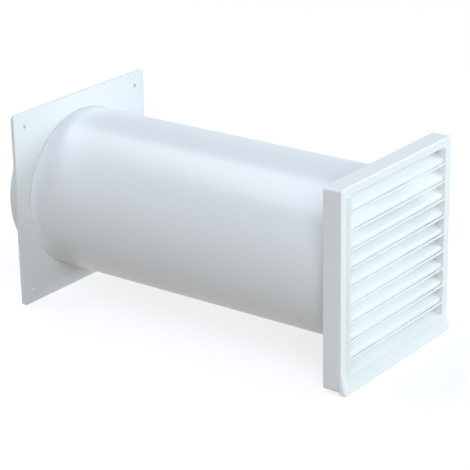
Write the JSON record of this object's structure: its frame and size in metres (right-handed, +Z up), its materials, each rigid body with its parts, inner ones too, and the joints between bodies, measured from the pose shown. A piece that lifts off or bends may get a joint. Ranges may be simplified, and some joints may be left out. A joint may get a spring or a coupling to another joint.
{
  "type": "wall vent sleeve",
  "caption": "White plastic wall sleeve for an extract duct: square wall plate with a round duct spigot, straight pipe through the wall and a louvred outside grille with a drip edge.",
  "frame": {"origin": "on the pipe's axis, in the face of the wall plate that lies on the wall, at the centre of its screw holes", "axes": "+X along the pipe from the wall plate to the grille, +Z up with the drip edge at the bottom"},
  "size_m": [0.3876, 0.188, 0.188],
  "materials": {
    "plate_plastic": "moulded white plastic, satin",
    "pipe_plastic": "extruded white plastic, satin",
    "grille_plastic": "moulded white plastic, satin"
  },
  "bodies": {
    "root": {"wall_plate": "plate_plastic", "pipe": "pipe_plastic", "louvre_grille": "grille_plastic"}
  },
  "joints": []
}
